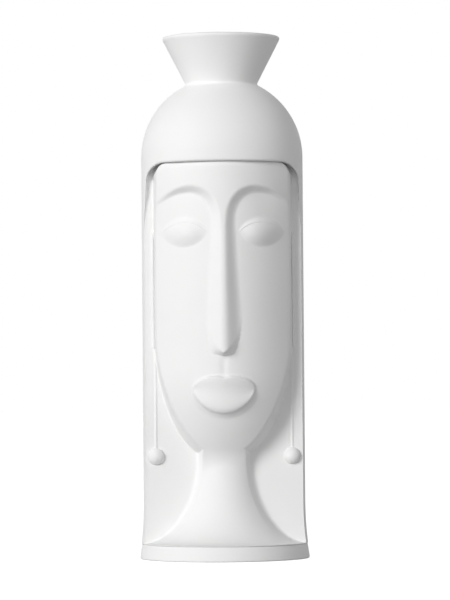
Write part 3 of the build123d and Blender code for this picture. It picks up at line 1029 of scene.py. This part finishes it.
def triangulateFace():         # flat points, triangles, the piece of each, and the ring round them
    innerRing = faceLineAt(oval["inset"])
    lines, areas = faceOutlines(innerRing)
    fixed = np.vstack([innerRing, *lines])
    edges = [(k, (k + 1) % faceCount) for k in range(faceCount)]
    start = faceCount
    for line in lines:
        edges += [(start + k, start + k + 1) for k in range(len(line) - 1)]
        start += len(line)
    flat = [Vector(point) for point in np.vstack([fixed, sprinkle(lines, fixed)])]
    spots, _, triangles, source, *_ = delaunay_2d_cdt(flat, edges, [list(range(faceCount))], 1, 1e-4)
    spots = np.array([tuple(point) for point in spots])
    triangles = np.array([list(corners) for corners in triangles])
    middles = spots[triangles].mean(axis=1)
    label = np.full(len(triangles), "face_mask", dtype=object)
    for node, area in areas.items():
        label[insidePolygon(middles, area)] = node
    ringSpots = np.zeros(faceCount, int)
    for i, origins in enumerate(source):
        for origin in origins:
            if origin < faceCount:
                ringSpots[origin] = i
    print("face sculpted with", len(triangles), "triangles")
    return spots, triangles, label, list(areas), ringSpots


def rimEdges(triangles):       # edges with a triangle on one side only
    owned = {}
    for a, b, c in triangles:
        for pair in ((a, b), (b, c), (c, a)):
            owned[pair] = True
    return [pair for pair in owned if (pair[1], pair[0]) not in owned]


def addFacePiece(node, points, faces, normals, skin):
    used = np.unique(np.concatenate([np.array(f) for f in faces]))
    place = np.full(len(points), -1)
    place[used] = np.arange(len(used))
    addPiece(node, points[used], [place[np.array(f)] for f in faces], normals[used], skin)


def edgeNormals(rings, rows):  # smooth over the edge, true to the sculpted front and flat on the niche wall
    around = np.roll(rings, -1, axis=1) - np.roll(rings, 1, axis=1)
    normals = np.cross(around, np.gradient(rings, axis=0))
    normals /= np.linalg.norm(normals, axis=2, keepdims=True) + 1e-12
    normals *= np.where(normals[0, faceCount // 2, 1] > 0, -1, 1)
    for i in range(1, oval["frontRows"] + 1):
        spot = faceLineAt(rows[i][0])
        normals[i] = faceNormals(spot[:, 0], spot[:, 1])
    normals[-1] = (0, -1, 0)
    return normals


def buildFace():
    spots, triangles, label, applied, ringSpots = triangulateFace()
    total = len(spots)
    plain = plainDepth(spots[:, 0], spots[:, 1])
    normals = faceNormals(spots[:, 0], spots[:, 1])
    front = inSpace(spots, faceDepth(spots[:, 0], spots[:, 1]))
    pocket = inSpace(spots, plain - oval["pocket"])
    back = inSpace(spots, plain - oval["shell"] * wall)
    pieceBack = pocket - (0, oval["clearance"], 0)
    for node in applied:
        own = triangles[label == node]
        faces = [list(corners) for corners in own]
        faces += [[total + c, total + b, total + a] for a, b, c in own]
        faces += [[b, a, total + a, total + b] for a, b in rimEdges(own)]
        addFacePiece(node, np.vstack([front, pieceBack]), faces, np.vstack([normals, normals]), len(own))

    # The mask itself: the bare skin, pockets under the applied pieces, side wall and hollow back.
    rows = edgeRows()
    rings = [inSpace(faceLineAt(inset), depth) for inset, depth in rows[1:]]
    seat = inSpace(faceLineAt(oval["inset"]), np.full(faceCount, rows[-1][1][0]))
    points = np.vstack([front, pocket, back, *rings, seat])
    index = [ringSpots] + [3 * total + i * faceCount + np.arange(faceCount) for i in range(len(rings) + 1)]
    seatIndex = index.pop()
    ringNormals = edgeNormals(np.stack([points[i] for i in index]), rows)
    allNormals = np.vstack([normals, normals, normals, *ringNormals[1:], ringNormals[-1]])
    bare = triangles[label == "face_mask"]
    under = triangles[label != "face_mask"]
    faces = [list(corners) for corners in bare]
    for a, b in zip(index, index[1:]):
        faces += stitch(a, b)
    skin = len(faces)
    faces += [[total + a, total + b, total + c] for a, b, c in under]
    after = np.roll(ringSpots, -1)
    boundary = set(zip(ringSpots, after)) | set(zip(after, ringSpots))
    faces += [[b, a, total + a, total + b] for a, b in rimEdges(bare) if (a, b) not in boundary]
    faces += [[a, b, total + b, total + a] for a, b in rimEdges(under) if (a, b) in boundary]
    faces += [[2 * total + c, 2 * total + b, 2 * total + a] for a, b, c in triangles]
    faces += stitch(2 * total + ringSpots, seatIndex) + stitch(index[-1], seatIndex)
    addFacePiece("face_mask", points, faces, allNormals, skin)


buildFace()


# Ears and drop earrings beside the face

earShape = {
    "crown": 14.0,             # curved top
    "lobe": 2.6,               # rise above the niche wall at the lower end
    "root": 1.2,               # reaches this far into the side of the face
    # Section: share of the width outwards from the face, share of the rise.
    "section": [(-0.4, 0.6), (0.12, 0.62), (0.26, 0.68), (0.38, 0.76), (0.5, 0.8), (0.62, 0.7), (0.74, 0.2),
                (0.85, 0.02)],
    "thin": 0.15,              # least rise, at the tip of the crown
    "lobeEnd": (0.75, 1.5),    # share of the rise at the very end, and the height over which it grows
    "sunk": 0.03,              # let into the niche wall
    "skirt": 0.5,              # and this much wider there
    "levels": 36,
}
drop = {
    "bead": 5.1,
    "beadRise": -0.8,          # its middle in front of the niche wall
    "beadFlat": 0.3,           # cut flat this far behind the wall
    "beadSteps": (33, 48),
    "stemFrom": 0.8,           # share of the bead's radius above its middle
    "stemSteps": 12,
    "stemHeight": 0.55,
    # Section of the stem: millimetres outwards, share of the height.
    "stemSection": [(-1.2, -0.06), (-0.7, 0.35), (0.0, 1.0), (0.7, 0.35), (1.2, -0.06)],
}


def buildEar(side):
    low, high = nodeBox("ear_" + side)
    sign = 1 if side == "right" else -1
    inner, outer = sorted([abs(low[0]), abs(high[0])])
    rise = -low[1] - floorDepth
    crownZ = high[2] - earShape["crown"]
    end, over = earShape["lobeEnd"]
    sunk = -earShape["sunk"]
    section = curveThrough(earShape["section"], 5)
    rings = []
    for f in np.linspace(0, 1, earShape["levels"]):
        z = low[2] + (high[2] - low[2]) * math.sin(f * math.pi / 2)
        if z < crownZ:
            top = earShape["lobe"] + (rise - earShape["lobe"]) * (z - low[2]) / (crownZ - low[2])
        else:
            top = rise * math.sqrt(max(0, 1 - ((z - crownZ) / earShape["crown"]) ** 2))
        top = max(top, earShape["thin"]) * (end + (1 - end) * min(1, (z - low[2]) / over))
        wide = outer - inner
        bow = [(-earShape["root"], sunk), *(section * (wide, top)), (wide + earShape["skirt"], sunk)]
        rings.append(np.array([(sign * (inner + x), -floorDepth - h, z) for x, h in bow]))
    addPiece("ear_" + side, *loftRings(rings), sharp=60)


def buildDrop(side):
    low, high = nodeBox("earring_bead_" + side)
    centre = ((low[0] + high[0]) / 2, -floorDepth - drop["beadRise"], (low[2] + high[2]) / 2)
    up, around = drop["beadSteps"]
    turns = np.radians(np.linspace(-90, 90, up))
    profile = [(0, -1), *[(math.cos(a), math.sin(a)) for a in turns[1:-1]], (0, 1)]
    points, faces = spin(np.array(profile) * drop["bead"], around)
    points = np.array(points) + centre
    points[:, 1] = np.minimum(points[:, 1], drop["beadFlat"] - floorDepth)
    addPiece("earring_bead_" + side, points, faces, sharp=60)
    stemLow, stemHigh = nodeBox("earring_stem_" + side)
    middle = (stemLow[0] + stemHigh[0]) / 2
    bow = curveThrough(drop["stemSection"], 4) * (1, drop["stemHeight"])
    stemFoot = centre[2] + drop["stemFrom"] * drop["bead"]
    rings = []
    for z in np.linspace(stemFoot, stemHigh[2], drop["stemSteps"]):
        rings.append(np.array([(middle + x, -floorDepth - h, z) for x, h in bow]))
    addPiece("earring_stem_" + side, *loftRings(rings), sharp=60)


for side in ("right", "left"):
    buildEar(side)
    buildDrop(side)


# Camera at the photograph's angle, for a picture of 450 x 600

view = {
    "distance": 2.088,
    "height": 0.1093,
    "aim": (0.0012, 0.0, 0.1533),
    "lens": 210.6,
    "sensor": 36.0,
    "turn": -0.3,              # degrees round the vase, to the left
    "roll": -0.46,
}


def buildCamera():
    lens = bpy.data.cameras.new("front_camera")
    lens.sensor_fit = "VERTICAL"
    lens.sensor_height = view["sensor"]
    lens.lens = view["lens"]
    lens.clip_end = 20
    camera = addObject("front_camera", lens)
    turn = math.radians(view["turn"])
    away = Vector((math.sin(turn), -math.cos(turn), 0)) * view["distance"]
    camera.location = away + Vector((view["aim"][0], 0, view["height"]))
    aim = Vector(view["aim"]) - camera.location
    look = aim.to_track_quat("-Z", "Y").to_matrix().to_4x4()
    roll = Matrix.Rotation(math.radians(view["roll"]), 4, "Z")
    camera.matrix_world = Matrix.Translation(camera.location) @ look @ roll
    bpy.context.scene.camera = camera


buildCamera()


# Soft studio light from the left, on a pale floor

studio = {
    "horizon": 0.93,           # soft light from all round, less of it from overhead
    "overhead": 0.0,
    "keyTurn": -39.0,          # degrees round from the viewer, to the left
    "keyLift": 18.5,
    "keyDistance": 5.0,
    "keySize": 2.2,
    "keyPower": 165.0,
    "keyAim": (0.0, 0.0, 0.15),
    "floorSize": 8.0,          # half its side
    "floorColour": (0.55, 0.55, 0.55),
    "floorGlow": 0.85,
}


def paintSky():                # white where it is seen, softer as a light
    world = bpy.data.worlds.new("studio")
    bpy.context.scene.world = world
    world.use_nodes = True
    tree = world.node_tree
    white = {"Color": (1, 1, 1, 1)}
    sky = tree.nodes["Background"]
    setInputs(sky, white)
    place = addNode(tree, "TexCoord")
    split = addNode(tree, "SeparateXYZ")
    height = addNode(tree, "MapRange", {"To Min": studio["horizon"], "To Max": studio["overhead"]})
    backdrop = addNode(tree, "Background", white)
    path = addNode(tree, "LightPath")
    seen = addNode(tree, "Math")
    anySeen = addNode(tree, "Math")
    seen.operation = anySeen.operation = "MAXIMUM"
    mix = addNode(tree, "MixShader")
    join(tree,
         (place, "Generated", split, 0), (split, "Z", height, "Value"), (height, "Result", sky, "Strength"),
         (path, "Is Camera Ray", seen, 0), (path, "Is Glossy Ray", seen, 1),
         (seen, 0, anySeen, 0), (path, "Is Transmission Ray", anySeen, 1),
         (anySeen, 0, mix, "Fac"), (sky, 0, mix, 1), (backdrop, 0, mix, 2),
         (mix, 0, tree.nodes["World Output"], "Surface"))


def hangKey():
    lamp = bpy.data.lights.new("key", "AREA")
    lamp.shape = "DISK"
    lamp.size = studio["keySize"]
    lamp.energy = studio["keyPower"]
    key = addObject("key", lamp)
    turn, lift = math.radians(studio["keyTurn"]), math.radians(studio["keyLift"])
    away = Vector((math.sin(turn) * math.cos(lift), -math.cos(turn) * math.cos(lift), math.sin(lift)))
    key.location = Vector(studio["keyAim"]) + away * studio["keyDistance"]
    key.rotation_euler = (-away).to_track_quat("-Z", "Y").to_euler()


def layFloor():
    half = studio["floorSize"]
    mesh = bpy.data.meshes.new("floor")
    corners = [(-half, -half, 0), (half, -half, 0), (half, half, 0), (-half, half, 0)]
    mesh.from_pydata(corners, [], [(0, 1, 2, 3)])
    floor = addObject("floor", mesh)
    material = bpy.data.materials.new("studio_floor")
    material.use_nodes = True
    tree = material.node_tree
    shader = tree.nodes["Principled BSDF"]
    setInputs(shader, {"Base Color": (*studio["floorColour"], 1), "Roughness": 1, "Specular IOR Level": 0})
    glow = addNode(tree, "Emission")
    path = addNode(tree, "LightPath")
    level = addNode(tree, "Math", {1: studio["floorGlow"]})
    level.operation = "MULTIPLY"
    both = addNode(tree, "AddShader")
    join(tree,
         (path, "Is Camera Ray", level, 0), (level, 0, glow, "Strength"),
         (shader, 0, both, 0), (glow, 0, both, 1),
         (both, 0, tree.nodes["Material Output"], "Surface"))
    mesh.materials.append(material)


paintSky()
hangKey()
layFloor()
bpy.context.scene.view_settings.view_transform = "Standard"
print("studio lit")
